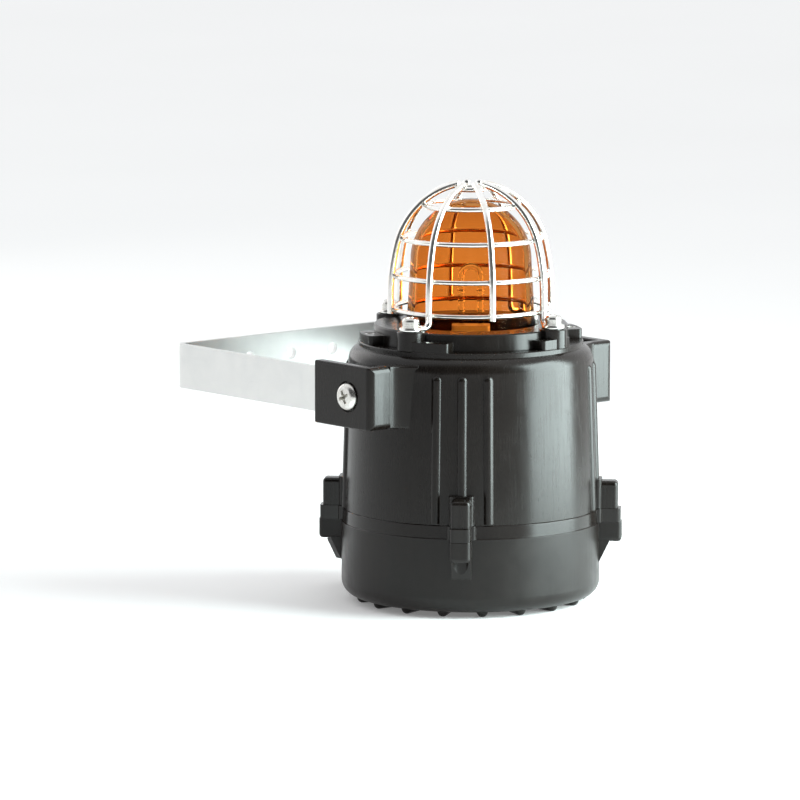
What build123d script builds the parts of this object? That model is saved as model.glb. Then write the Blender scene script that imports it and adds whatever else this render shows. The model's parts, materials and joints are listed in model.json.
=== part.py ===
from build123d import *

import os
from math import asin, atan2, cos, radians, sin

# Guarded beacon light for hazardous areas: a moulded housing that hangs in a tilting U bracket.
#
# Frame: millimetres, +Z up along the axis of the housing. The origin is on the axis, at the level of
# the ribs under the base cover, which the beacon stands on. +X points to one pivot ear and +Y to the
# plate of the bracket, which is the wall side.

# ---- Driving dimensions -------------------------------------------------------------------
BODY_R = 73.8             # radius of the housing wall at the joint with the base cover
SHOULDER_R = 70.9         # radius of the housing wall where the rounded shoulder begins
JOINT_Z = 54.1            # plane where the housing meets the base cover
SHOULDER_Z = 140.3        # level where the rounded shoulder begins
HEAD_Z = 151.5            # flat head of the housing, which carries the lens flange
COVER_R = 75.0            # radius of the base cover's wall
PIVOT_Z = 126.5           # level of the two pivot screws
EAR_FACE_X = 93.0         # outer face of each pivot ear
BAR_HEIGHT = 26.0         # flat bar of the bracket
BAR_THICKNESS = 3.0
BRACKET_REACH = 167.0     # pivot axis to the outer face of the bracket's plate
DOME_R = 35.0             # radius of the glass dome's round top
DOME_CENTRE_Z = 198.0
GUARD_R = 48.0            # radius of the ring that the guard's upright wires stand on
WIRE_R = 1.9              # radius of the upright wires
HOOP_WIRE_R = 1.5
LUG_ANGLES = (45, 135, 225, 315)
SIDES = (1, -1)           # the +X side and its mirror image
GUARD_SCREW_ANGLES = (13, 103, 193, 283)

# ---- Walls and clearances -----------------------------------------------------------------
WALL = 5.0
GAP = 0.1                 # clearance between parts that are bolted together
MOVING_GAP = 0.4          # clearance between the bracket and what stays still
PIVOT_FIT = 0.05          # radial clearance of a pivot screw in the bracket
SINK = 0.8                # how deep an added feature starts inside its wall, so that the two are one

PARTS = {}


STANDING = (Align.CENTER, Align.CENTER, Align.MIN)


# ---- Helpers ------------------------------------------------------------------------------
def drum(radius, z_low, z_high, x=0.0, y=0.0):
    """Upright cylinder between two levels."""
    return Pos(x, y, z_low) * Cylinder(radius, z_high - z_low, align=STANDING)


def ring(outer, inner, z_low, z_high, x=0.0, y=0.0):
    """Upright tube between two levels."""
    return drum(outer, z_low, z_high, x, y) - drum(inner, z_low - 1, z_high + 1, x, y)


def block(x_low, x_high, y_low, y_high, z_low, z_high):
    """Box between two corners."""
    size = (x_high - x_low, y_high - y_low, z_high - z_low)
    return Pos(x_low, y_low, z_low) * Box(*size, align=(Align.MIN, Align.MIN, Align.MIN))


def turned(*edges):
    """Solid of revolution about Z from the edges of a closed (radius, level) outline."""
    return revolve(make_face(Plane.XZ * Curve(list(edges))), Axis.Z)


def turned_polygon(points):
    """Solid of revolution about Z from a closed polygon of (radius, level) points."""
    return revolve(make_face(Plane.XZ * Polyline(*points, close=True)), Axis.Z)


def polar(radius, angle):
    """The x and y of a point given by radius and angle in degrees."""
    return radius * cos(radians(angle)), radius * sin(radians(angle))


def turn(shape, angle):
    """The shape turned about the housing's axis."""
    return Rot(0, 0, angle) * shape


def along_x(shape, side, x, y=0.0, z=PIVOT_Z):
    """A shape built along +Z laid along X: its +Z points outward on the given side."""
    return Pos(side * x, y, z) * Rot(0, side * 90, 0) * shape


def along_y(shape, x, y, z):
    """A shape built along +Z laid along +Y."""
    return Pos(x, y, z) * Rot(-90, 0, 0) * shape


def joined(shapes):
    """Fuses the shapes of one moulding into one solid."""
    shapes = list(shapes)
    return shapes[0].fuse(*shapes[1:])


def rounded_plan(x_low, x_high, width, corner):
    """Plan of a radial block, centred on the X axis, with its outer corners rounded."""
    y = width / 2
    return make_face(Curve([
        Polyline((x_high - corner, -y), (x_low, -y), (x_low, y), (x_high - corner, y)),
        RadiusArc((x_high - corner, y), (x_high, y - corner), corner),
        Line((x_high, y - corner), (x_high, corner - y)),
        RadiusArc((x_high, corner - y), (x_high - corner, -y), corner),
    ]))


def raised(plan, z_low, z_high):
    """A plan extruded between two levels."""
    return Pos(0, 0, z_low) * extrude(plan, z_high - z_low)


def radial_slab(points, width):
    """A polygon of (radius, level) points extruded to a width centred on the X axis."""
    outline = make_face(Plane.XZ * Polyline(*points, close=True))
    return extrude(outline, width / 2, both=True)


def cross_recess(span, slot, depth):
    """Tool for a cross recess, its mouth on the XY plane and its tip below."""
    arm = extrude(Rectangle(span, slot), amount=-depth, taper=12)
    core = Cone(slot * 0.35, slot * 1.05, depth * 1.25, align=(Align.CENTER, Align.CENTER, Align.MAX))
    return joined([arm, Rot(0, 0, 90) * arm, core])


def pan_screw(head_r, head_h, shank_r, length):
    """Pan head screw with a cross recess: seat of the head on the XY plane, shank below."""
    rim = head_h * 0.35
    knee = (head_r * 0.62, head_h * 0.93)
    head = turned(
        Line((0, 0), (head_r, 0)),
        Line((head_r, 0), (head_r, rim)),
        ThreePointArc((head_r, rim), (head_r * 0.9, head_h * 0.72), knee),
        ThreePointArc(knee, (head_r * 0.33, head_h * 0.985), (0, head_h)),
        Line((0, head_h), (0, 0)),
    )
    tip = shank_r * 0.25
    shank = drum(shank_r, -length + tip, 0.5)
    end = Pos(0, 0, -length) * Cone(shank_r - tip, shank_r, tip, align=STANDING)
    recess = Pos(0, 0, head_h + 0.01) * cross_recess(head_r * 1.02, head_r * 0.24, head_h * 0.6)
    return joined([head, shank, end]) - recess


def cap_screw(head_r, head_h, shank_r, length):
    """Socket cap screw: seat of the head on the XY plane, shank below."""
    head = drum(head_r, 0, head_h)
    head = chamfer(head.edges().group_by(Axis.Z)[-1], head_h * 0.1)
    socket = Pos(0, 0, head_h * 0.45) * extrude(RegularPolygon(head_r * 0.58, 6), head_h)
    return joined([head, drum(shank_r, -length, 0.5)]) - socket


def hex_nut(across_flats, bore_r, height):
    """Hexagon nut standing on the XY plane, its corners chamfered."""
    blank = extrude(RegularPolygon(across_flats / 2, 6, major_radius=False), height)
    corner = across_flats / 2 / cos(radians(30))
    bevel = corner - across_flats / 2
    envelope = turned_polygon([(0, 0), (across_flats / 2, 0), (corner, bevel * 0.6),
                               (corner, height - bevel * 0.6), (across_flats / 2, height), (0, height)])
    return (blank & envelope) - drum(bore_r, -1, height + 1)


def spring_washer(outer, inner, height):
    """Split lock washer lying on the XY plane."""
    split = Pos(outer / 2, 0, height / 2) * Rot(35, 0, 0) * Box(outer, height * 0.45, height * 3)
    return ring(outer, inner, 0, height) - Rot(0, 0, 20) * split


# ---- Housing ------------------------------------------------------------------------------
CAVITY_R = 66.0
SPIGOT_R = 69.95          # locating spigot that enters the base cover
SPIGOT_LOW = 44.0
SEAL_LOW, SEAL_HIGH = 47.9, 51.1
SEAL_ROOT_R = 67.9
HEAD_R = 65.0             # flat top of the shoulder
CROWN_Z = 141.5           # underside of the head
SHOULDER_ROUND = 8.9
SEAT_R = 44.6             # recess in the head that holds the glass dome
SEAT_Z = 144.5
THROAT_R = 33.0           # opening under the glass dome
RIB_R = 3.2
RIB_PROUD = 1.5
RIB_TOP_Z = 136.6
RIB_SPREAD = 12.0
LUG_R = 85.8
LUG_TOP_Z = 70.0
LUG_WIDTH = 11.2
LUG_PAD_R = 76.4
LUG_PAD_WIDTH = 14.4
LUG_PAD_TOP = 71.2
LUG_ROUND = 2.4
BOLT_CIRCLE_R = 81.5
BOLT_R = 2.5
BOLT_HEAD_R = 4.25
BOLT_HEAD = 5.0
BOLT_LENGTH = 20.0
BOLT_WASHER = 1.2
BOLT_POCKET_R = 4.6
BOLT_SEAT_Z = 42.4        # roof of the pocket in a cover lug that takes a bolt's head from below
EAR_THICKNESS = 6.4
EAR_HEIGHT = 36.4
EAR_FREE_Y = 30.0
EAR_ROOT_Y = -20.0
WEB_INNER_Y = -13.6
EAR_ROUND = 4.0
EAR_EDGE = 1.2
EAR_CORNER = 3.5          # rounding of the plate's corners on its root side
EAR_FILLET_X = 78.0       # where the fillet onto the wall begins
SCREW_RECESS_R = 9.0
SCREW_RECESS = 1.5
PIVOT_R = 4.0


def wall_r(z):
    """Outer radius of the drafted housing wall at a level."""
    return BODY_R + (SHOULDER_R - BODY_R) * (z - JOINT_Z) / (SHOULDER_Z - JOINT_Z)


def housing_shell():
    centre_r = SHOULDER_R - SHOULDER_ROUND
    end = radians(70)
    shoulder_end = (centre_r + SHOULDER_ROUND * cos(end), SHOULDER_Z + SHOULDER_ROUND * sin(end))
    middle = radians(35)
    shoulder_mid = (centre_r + SHOULDER_ROUND * cos(middle), SHOULDER_Z + SHOULDER_ROUND * sin(middle))
    lip = 0.5
    return turned(
        Polyline((CAVITY_R, SPIGOT_LOW), (SPIGOT_R - 1, SPIGOT_LOW), (SPIGOT_R, SPIGOT_LOW + 1),
                 (SPIGOT_R, SEAL_LOW), (SEAL_ROOT_R, SEAL_LOW), (SEAL_ROOT_R, SEAL_HIGH),
                 (SPIGOT_R, SEAL_HIGH), (SPIGOT_R, JOINT_Z), (BODY_R, JOINT_Z), (SHOULDER_R, SHOULDER_Z)),
        ThreePointArc((SHOULDER_R, SHOULDER_Z), shoulder_mid, shoulder_end),
        Polyline(shoulder_end, (shoulder_end[0], HEAD_Z - lip), (shoulder_end[0] - lip, HEAD_Z),
                 (SEAT_R, HEAD_Z), (SEAT_R, SEAT_Z), (THROAT_R, SEAT_Z), (THROAT_R, CROWN_Z),
                 (CAVITY_R - 4, CROWN_Z), (CAVITY_R, CROWN_Z - 4), (CAVITY_R, SPIGOT_LOW)),
    )


def housing_rib(angle):
    """Half round rib that follows the drafted wall and ends in a ball."""
    low_z = JOINT_Z + 0.6
    low = Vector(wall_r(low_z) + RIB_PROUD - RIB_R, 0, low_z)
    high = Vector(wall_r(RIB_TOP_Z) + RIB_PROUD - RIB_R, 0, RIB_TOP_Z)
    axis = high - low
    stem = Plane(origin=low, x_dir=(0, 1, 0), z_dir=axis) * Cylinder(RIB_R, axis.length, align=STANDING)
    return turn(joined([stem, Pos(high.X, 0, high.Z) * Sphere(RIB_R)]), angle)


def lug(low_z, high_z, outer, width):
    """Radial block with rounded outer corners."""
    return raised(rounded_plan(COVER_BORE_R + 1.5, outer, width, LUG_ROUND), low_z, high_z)


def round_lug(shape, z):
    """The lug with its outer edges at one level rounded."""
    rim = shape.edges().filter_by(lambda e: abs(e.center().Z - z) < 0.01 and e.center().X > COVER_R)
    return fillet(rim, LUG_ROUND)


def upper_lug(angle):
    """Bolt lug of the housing, closed on top, with the wider pad that ties it to the wall."""
    pad = lug(JOINT_Z, LUG_PAD_TOP, LUG_PAD_R, LUG_PAD_WIDTH)
    return turn(joined([round_lug(lug(JOINT_Z, LUG_TOP_Z, LUG_R, LUG_WIDTH), LUG_TOP_Z), pad]), angle)


def ear_plan():
    """Plan of the +X ear: the plate, the web at its root and the fillet onto the wall."""
    inner_x = EAR_FACE_X - EAR_THICKNESS
    buried = SHOULDER_R - 6
    low, middle, high = (64.5, -28.5), (70.8, -22.2), (EAR_FILLET_X, EAR_ROOT_Y)
    corner_x, corner_y = EAR_FACE_X - EAR_ROUND, EAR_ROOT_Y + EAR_ROUND
    return make_face(Curve([
        Polyline((EAR_FACE_X, corner_y), (EAR_FACE_X, EAR_FREE_Y), (inner_x, EAR_FREE_Y),
                 (inner_x, WEB_INNER_Y), (buried, WEB_INNER_Y), (buried - 4, low[1] + 1), low),
        ThreePointArc(low, middle, high),
        Line(high, (corner_x, EAR_ROOT_Y)),
        RadiusArc((corner_x, EAR_ROOT_Y), (EAR_FACE_X, corner_y), -EAR_ROUND),
    ]))


def ear(side):
    """One pivot ear; side is 1 or -1."""
    shape = raised(ear_plan(), PIVOT_Z - EAR_HEIGHT / 2, PIVOT_Z + EAR_HEIGHT / 2)
    free_edges = shape.edges().filter_by(Axis.Z).filter_by(lambda e: e.center().Y > EAR_FREE_Y - 1)
    shape = fillet(free_edges, EAR_EDGE)
    rim = [e for e in shape.edges() if abs(abs(e.center().Z - PIVOT_Z) - EAR_HEIGHT / 2) < 0.01
           and (e.center().X > EAR_FACE_X - 0.01
                or e.center().X > EAR_FILLET_X and e.center().Y < EAR_ROOT_Y + EAR_ROUND)]
    shape = fillet(rim, EAR_EDGE)
    for end in (1, -1):
        centre_z = PIVOT_Z + end * (EAR_HEIGHT / 2 - EAR_CORNER)
        levels = sorted((centre_z, centre_z + end * (EAR_CORNER + 1)))
        corner = block(EAR_FILLET_X, EAR_FACE_X + 1, EAR_ROOT_Y - 1, EAR_ROOT_Y + EAR_CORNER, *levels)
        shape -= corner - along_x(drum(EAR_CORNER, 0, 2 * EAR_FACE_X), 1, 0, EAR_ROOT_Y + EAR_CORNER, centre_z)
    return shape if side > 0 else mirror(shape, Plane.YZ)


def housing_body():
    solid = joined([housing_shell()]
                   + [housing_rib(a + d) for a in LUG_ANGLES for d in (-RIB_SPREAD, 0, RIB_SPREAD)]
                   + [upper_lug(a) for a in LUG_ANGLES]
                   + [ear(side) for side in SIDES])
    solid -= drum(CAVITY_R, SPIGOT_LOW - 1, CROWN_Z - 4)
    for angle in LUG_ANGLES:
        x, y = polar(BOLT_CIRCLE_R, angle)
        solid -= drum(INSERT_R, JOINT_Z - 1, JOINT_Z + INSERT_LENGTH, x, y)
    for angle in FLANGE_SCREW_ANGLES:
        x, y = polar(FLANGE_SCREW_CIRCLE_R, angle)
        solid -= drum(FLANGE_SCREW_R + PIVOT_FIT, HEAD_Z - FLANGE_THREAD, HEAD_Z + 1, x, y)
    for side in SIDES:
        solid -= along_x(drum(PIVOT_R + PIVOT_FIT, -EAR_THICKNESS - 1, 1), side, EAR_FACE_X)
        solid -= along_x(drum(SCREW_RECESS_R, -SCREW_RECESS, 1), side, EAR_FACE_X)
    return solid


# ---- Lens flange and glass dome -----------------------------------------------------------
FLANGE_R = 56.0
FLANGE_Z = 161.3
FLANGE_BORE_R = 38.2
LOBE_R = 64.6
LOBE_Z = 156.9
LOBE_WIDTH_DEG = 22.0
LOBE_ANGLES = (-154, -80, -26, 26, 100, 154)
FLANGE_SCREW_ANGLES = (-154, -26, 26, 154)      # the other two lobes carry a guard boss
FLANGE_SCREW_CIRCLE_R = 60.1
FLANGE_SCREW_R = 2.0
FLANGE_HEAD_R = 3.5
FLANGE_THREAD = 7.0
FLANGE_POCKET = 2.9       # depth of the pocket that hides a flange screw's head
GUARD_SCREW_CIRCLE_R = 58.3
GUARD_BOSS_R = 8.0
GUARD_BOSS_Z = 162.2
GUARD_SCREW_R = 2.5
GUARD_SCREW_DEPTH = 9.0
GUARD_HEAD_R, GUARD_HEAD = 4.9, 3.6
GUARD_WASHER_R, GUARD_WASHER, GUARD_LOCK = 5.0, 1.0, 1.3
GLASS = 4.0
DOME_BASE_R = 37.9
DOME_BASE_Z = 150.0       # top of the dome's foot flange
DOME_FOOT_R = 44.0
GASKET = 1.5


def lobe(angle):
    """Low lobe of the lens flange."""
    half = LOBE_WIDTH_DEG / 2
    low, high = polar(LOBE_R, -half), polar(LOBE_R, half)
    inner = FLANGE_BORE_R + 6
    plan = make_face(Curve([
        Polyline(high, (inner, high[1]), (inner, low[1]), low),
        ThreePointArc(low, (LOBE_R, 0), high),
    ]))
    shape = raised(plan, HEAD_Z, LOBE_Z)
    corners = shape.edges().filter_by(Axis.Z).filter_by(lambda e: e.center().X > FLANGE_R)
    return turn(fillet(corners, 2.2), angle)


def lens_flange():
    rim, bore = 0.8, 1.5
    plate = turned_polygon([
        (FLANGE_BORE_R, HEAD_Z), (FLANGE_R + 0.6, HEAD_Z), (FLANGE_R, FLANGE_Z - rim),
        (FLANGE_R - rim, FLANGE_Z), (FLANGE_BORE_R + bore, FLANGE_Z), (FLANGE_BORE_R, FLANGE_Z - bore)])
    bosses = []
    for angle in GUARD_SCREW_ANGLES:
        x, y = polar(GUARD_SCREW_CIRCLE_R, angle)
        boss = chamfer(drum(GUARD_BOSS_R, HEAD_Z, GUARD_BOSS_Z).edges().group_by(Axis.Z)[-1], 0.5)
        bosses.append(Pos(x, y, 0) * boss)
    solid = joined([plate] + bosses + [lobe(a) for a in LOBE_ANGLES])
    solid -= drum(FLANGE_BORE_R, HEAD_Z - 1, FLANGE_Z - bore)
    solid &= drum(GUARD_SCREW_CIRCLE_R + GUARD_BOSS_R, HEAD_Z, GUARD_BOSS_Z)
    for angle in GUARD_SCREW_ANGLES:
        x, y = polar(GUARD_SCREW_CIRCLE_R, angle)
        solid -= drum(GUARD_SCREW_R + PIVOT_FIT, GUARD_BOSS_Z - GUARD_SCREW_DEPTH, GUARD_BOSS_Z + 1, x, y)
    for angle in FLANGE_SCREW_ANGLES:
        x, y = polar(FLANGE_SCREW_CIRCLE_R, angle)
        solid -= drum(FLANGE_SCREW_R + 0.2, HEAD_Z - 1, LOBE_Z + 1, x, y)
        solid -= drum(FLANGE_HEAD_R + 0.2, LOBE_Z - FLANGE_POCKET, GUARD_BOSS_Z + 1, x, y)
    return solid


def glass_dome():
    """Dome with a slightly tapered skirt, a round top and a foot flange."""
    spring_z = DOME_CENTRE_Z
    inner_r = DOME_R - GLASS
    foot_low = DOME_BASE_Z - 4
    skirt_in = DOME_BASE_R - GLASS
    outer_mid = (DOME_R * cos(radians(45)), spring_z + DOME_R * sin(radians(45)))
    inner_mid = (inner_r * cos(radians(45)), spring_z + inner_r * sin(radians(45)))
    return turned(
        Polyline((skirt_in, foot_low), (DOME_FOOT_R, foot_low), (DOME_FOOT_R, DOME_BASE_Z),
                 (DOME_BASE_R, DOME_BASE_Z), (DOME_R, spring_z)),
        ThreePointArc((DOME_R, spring_z), outer_mid, (0, spring_z + DOME_R)),
        Line((0, spring_z + DOME_R), (0, spring_z + inner_r)),
        ThreePointArc((0, spring_z + inner_r), inner_mid, (inner_r, spring_z)),
        Line((inner_r, spring_z), (skirt_in, foot_low)),
    )


# ---- Wire guard ---------------------------------------------------------------------------
SPRING_Z = 178.0          # level where the upright wires begin to lean inward
CROWN_R = 45.6            # the wires end on a sphere
CROWN_CENTRE_Z = 197.0
WIRE_END_R = 8.4          # where the wires stop, round the axis
WIRE_ANGLES = (19, 64, 109, 154, 199, 244, 289, 334)
FOOT_ANGLES = (19, 109, 199, 289)
HOOP_Z = (170.0, 189.8, 211.8, 231.9)
HOOP_SINK = 0.35          # how deep a hoop is welded into the upright wires
CROWN_RING_R = 8.2
CROWN_RING_DROP = 2.6     # how far the small ring at the crown lies under the wires' ends
FOOT_HEIGHT = 2.2         # the flattened eye under a guard screw
FOOT_BEND_R = 3.4
FOOT_SWING = GUARD_SCREW_ANGLES[0] - FOOT_ANGLES[0]
EYE_R = 4.7
# between the upright stretch and the sphere, a wire follows a long arc that meets both without a corner
LEAN, LEAN_RISE = GUARD_R - CROWN_R, CROWN_CENTRE_Z - SPRING_Z
LONG_R = CROWN_R + (LEAN ** 2 + LEAN_RISE ** 2) / (2 * LEAN)
LONG_END = atan2(LEAN_RISE, LONG_R - GUARD_R)
CROWN_RISE = (CROWN_R ** 2 - WIRE_END_R ** 2) ** 0.5


def wire_point(angle):
    """Radius and level on a wire where its outward normal has risen by an angle, in radians."""
    if angle < LONG_END:
        return GUARD_R - LONG_R * (1 - cos(angle)), SPRING_Z + LONG_R * sin(angle)
    return CROWN_R * cos(angle), CROWN_CENTRE_Z + CROWN_R * sin(angle)


def wire_normal(z):
    """Angle of a wire's outward normal above the horizontal, where the wire is at a level."""
    if z <= SPRING_Z:
        return 0.0
    on_long_arc = asin((z - SPRING_Z) / LONG_R)
    return on_long_arc if on_long_arc < LONG_END else asin((z - CROWN_CENTRE_Z) / CROWN_R)


def hoop(z):
    """Hoop welded inside the wires, its centre line offset along the wires' normal."""
    normal = wire_normal(z)
    radius = wire_point(normal)[0]
    offset = WIRE_R + HOOP_WIRE_R - HOOP_SINK
    return Pos(0, 0, z - offset * sin(normal)) * Torus(radius - offset * cos(normal), HOOP_WIRE_R)


def foot_corner():
    """Where a footed wire turns from upright to level, and the direction from there to its eye."""
    eye = Vector(*polar(GUARD_SCREW_CIRCLE_R, FOOT_SWING), GUARD_BOSS_Z + FOOT_HEIGHT / 2)
    corner = Vector(GUARD_R, 0, eye.Z)
    return corner, eye, (eye - corner).normalized()


def guard_wire(angle, footed):
    """One wire up to the crown: from a screwed foot with a flattened eye, or from the lowest hoop."""
    def place(rise):
        radius, level = wire_point(rise)
        return radius, 0, level

    spring = (GUARD_R, 0, SPRING_Z)
    end = atan2(CROWN_RISE, WIRE_END_R)
    arcs = [ThreePointArc(spring, place(LONG_END / 2), place(LONG_END)),
            ThreePointArc(place(LONG_END), place((LONG_END + end) / 2), place(end))]
    if not footed:
        low = (GUARD_R, 0, HOOP_Z[0] - WIRE_R)
        return turn(sweep(Pos(*low) * Circle(WIRE_R), path=Curve([Line(low, spring)] + arcs)), angle)
    corner, eye, outward = foot_corner()
    start = eye - outward * EYE_R
    leg = FilletPolyline(start, corner, spring, radius=FOOT_BEND_R)
    wire = sweep(Plane(start, z_dir=-outward) * Circle(WIRE_R), path=Curve(list(leg.edges()) + arcs))
    wire = wire.fuse(Pos(*eye) * Torus(EYE_R, WIRE_R))
    wire -= drum(GUARD_BOSS_R + GAP, GUARD_BOSS_Z - WIRE_R, GUARD_BOSS_Z, eye.X, eye.Y)
    wire -= drum(EYE_R + WIRE_R, GUARD_BOSS_Z + FOOT_HEIGHT, GUARD_BOSS_Z + 2 * FOOT_HEIGHT, eye.X, eye.Y)
    return turn(wire, angle)


def wire_guard():
    crown_z = CROWN_CENTRE_Z + CROWN_RISE - CROWN_RING_DROP
    wires = [guard_wire(angle, angle in FOOT_ANGLES) for angle in WIRE_ANGLES]
    rings = [hoop(z) for z in HOOP_Z] + [Pos(0, 0, crown_z) * Torus(CROWN_RING_R, HOOP_WIRE_R)]
    return joined(wires + rings)


# ---- Base cover ---------------------------------------------------------------------------
FLOOR_Z = 2.8             # underside of the base cover, above the ribs it stands on
COVER_BORE_R = 70.05
COVER_ROUND = 9.0
INNER_ROUND = 4.0
BAND_Z = 46.2             # lower edge of the recessed band under the joint
BAND_LOW_R = 74.5
BAND_TOP_R = 74.1
COVER_LUG_R = 88.0
COVER_LUG_Z = 34.6
COVER_LUG_WIDTH = 11.8
COVER_LUG_STEP = 0.5      # how far the lug is set back at the band
GUSSET_Z = 23.3
GUSSET_R = 80.9
GUSSET_WIDTH = 11.2
COVER_PAD_R = 76.6
COVER_PAD_WIDTH = 16.6
FOOT_RIBS = 18
FOOT_RIB_START = 15.0     # angle of the first rib
FOOT_RIB_R = 3.2
FOOT_RIB_SPAN = (44.0, 65.0)
FOOT_FLAT = 0.2           # how much of each rib's round is cut flat to stand on
CENTRE_PAD_R = 9.0        # moulding gate pad, level with the ribs
ENTRY_X = 20.0            # half the distance between the two cable entries
ENTRY_Z = 26.5
ENTRY_BOSS_R = 14.5
ENTRY_FACE_Y = 82.0
ENTRY_R = 9.25            # core of an M20 thread
INSERT_R = 3.3            # brass insert that a cover bolt screws into
INSERT_LENGTH = 12.0
PLUG_SEAL = 1.6           # thickness of the sealing washer under the plug
PLUG_ACROSS = 24.0
PLUG_HEAD = 4.9
PLUG_COLLAR, PLUG_COLLAR_R = 2.1, 13.2


def cover_shell():
    top = 0.5
    inside = FLOOR_Z + WALL
    low_r = COVER_R - COVER_ROUND
    round_mid = (low_r + COVER_ROUND * cos(radians(45)), FLOOR_Z + COVER_ROUND * (1 - sin(radians(45))))
    return turned(
        Line((0, FLOOR_Z), (low_r, FLOOR_Z)),
        ThreePointArc((low_r, FLOOR_Z), round_mid, (COVER_R, FLOOR_Z + COVER_ROUND)),
        Polyline((COVER_R, FLOOR_Z + COVER_ROUND), (COVER_R, BAND_Z), (BAND_LOW_R, BAND_Z + 0.3),
                 (BAND_TOP_R, JOINT_Z - top), (BAND_TOP_R - top, JOINT_Z), (COVER_BORE_R, JOINT_Z),
                 (COVER_BORE_R, inside + INNER_ROUND), (COVER_BORE_R - INNER_ROUND, inside), (0, inside),
                 (0, FLOOR_Z)),
    )


def lower_lug(angle):
    """Bolt lug of the cover, with its pad at the band and the gusset that runs down the wall."""
    inner = COVER_BORE_R + 1.5
    head = lug(BAND_Z, JOINT_Z, COVER_LUG_R - COVER_LUG_STEP, COVER_LUG_WIDTH)
    body = round_lug(lug(COVER_LUG_Z, BAND_Z, COVER_LUG_R, COVER_LUG_WIDTH), COVER_LUG_Z)
    gusset = radial_slab([(inner, COVER_LUG_Z + 1), (GUSSET_R, COVER_LUG_Z + 1), (GUSSET_R, COVER_LUG_Z),
                          (COVER_R + 0.4, GUSSET_Z), (inner, GUSSET_Z - 2)], GUSSET_WIDTH)
    pad = raised(rounded_plan(inner, COVER_PAD_R, COVER_PAD_WIDTH, 2.0), BAND_Z, JOINT_Z)
    return turn(joined([head, body, gusset, pad]), angle)


def foot_rib(angle):
    """Half round rib under the floor, its lowest line cut flat to stand on."""
    inner, outer = FOOT_RIB_SPAN
    centre_z = FOOT_RIB_R - FOOT_FLAT
    bar = Pos(inner, 0, centre_z) * Rot(0, 90, 0) * Cylinder(FOOT_RIB_R, outer - inner, align=STANDING)
    ends = [Pos(r, 0, centre_z) * Sphere(FOOT_RIB_R) for r in (inner, outer)]
    return turn(joined([bar] + ends) & drum(BODY_R, 0, FLOOR_Z + SINK), angle)


def entry_boss(side):
    return along_y(drum(ENTRY_BOSS_R, 0, ENTRY_FACE_Y - CAVITY_R), side * ENTRY_X, CAVITY_R, ENTRY_Z)


def base_cover():
    solid = joined([cover_shell(), drum(CENTRE_PAD_R, 0, FLOOR_Z + SINK)]
                   + [lower_lug(angle) for angle in LUG_ANGLES]
                   + [foot_rib(FOOT_RIB_START + i * 360 / FOOT_RIBS) for i in range(FOOT_RIBS)]
                   + [entry_boss(side) for side in SIDES])
    solid -= drum(COVER_BORE_R, FLOOR_Z + WALL + INNER_ROUND, JOINT_Z + 1)
    for side in SIDES:
        solid -= along_y(drum(ENTRY_R, 0, ENTRY_FACE_Y), side * ENTRY_X, 0.5 * CAVITY_R, ENTRY_Z)
    for angle in LUG_ANGLES:
        x, y = polar(BOLT_CIRCLE_R, angle)
        solid -= drum(BOLT_R + 0.3, BOLT_SEAT_Z - 1, JOINT_Z + 1, x, y)
        solid -= drum(BOLT_POCKET_R, 0, BOLT_SEAT_Z, x, y)
    return solid


def cover_seal():
    """Sealing ring in the groove of the housing's spigot."""
    clear = 0.15
    edge = 0.5
    low, high = SEAL_LOW + clear, SEAL_HIGH - clear
    root, face = SEAL_ROOT_R + 0.05, COVER_BORE_R
    return turned_polygon([(root, low), (face - edge, low), (face, low + edge), (face, high - edge),
                           (face - edge, high), (root, high)])


def cover_fasteners():
    """Bolts, lock washers and brass inserts of the four lugs."""
    bolt = Rot(180, 0, 0) * cap_screw(BOLT_HEAD_R, BOLT_HEAD, BOLT_R, BOLT_LENGTH)
    washer = spring_washer(BOLT_HEAD_R, BOLT_R + GAP, BOLT_WASHER)
    seat = BOLT_SEAT_Z - BOLT_WASHER
    bolts, washers, inserts = [], [], []
    for angle in LUG_ANGLES:
        x, y = polar(BOLT_CIRCLE_R, angle)
        bolts.append(Pos(x, y, seat) * bolt)
        washers.append(Pos(x, y, seat) * washer)
        inserts.append(ring(INSERT_R, BOLT_R + PIVOT_FIT, JOINT_Z + GAP, JOINT_Z + INSERT_LENGTH, x, y))
    PARTS["cover_bolts"] = bolts
    PARTS["cover_lock_washers"] = washers
    PARTS["cover_inserts"] = inserts


def entry_plug():
    """Blanking plug of the cable entry on the -X side: hexagon head, flange and shank."""
    shank = ENTRY_FACE_Y - CAVITY_R
    collar_z = PLUG_SEAL + PLUG_COLLAR
    hexagon = RegularPolygon(PLUG_ACROSS / 2, 6, major_radius=False)
    head = raised(hexagon, PLUG_SEAL + GAP, collar_z + PLUG_HEAD)
    head = chamfer(head.edges().group_by(Axis.Z)[-1], 0.8)
    collar = drum(PLUG_COLLAR_R, PLUG_SEAL, collar_z)
    plug = joined([drum(ENTRY_R - GAP, -shank, PLUG_SEAL), collar, head])
    return along_y(plug, -ENTRY_X, ENTRY_FACE_Y, ENTRY_Z)


# ---- Screws of the flange and the guard ---------------------------------------------------
def flange_screws():
    screws = []
    for angle in FLANGE_SCREW_ANGLES:
        x, y = polar(FLANGE_SCREW_CIRCLE_R, angle)
        screw = cap_screw(FLANGE_HEAD_R, FLANGE_POCKET - 0.2, FLANGE_SCREW_R, FLANGE_THREAD + 1.5)
        screws.append(Pos(x, y, LOBE_Z - FLANGE_POCKET) * screw)
    return screws


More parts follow.
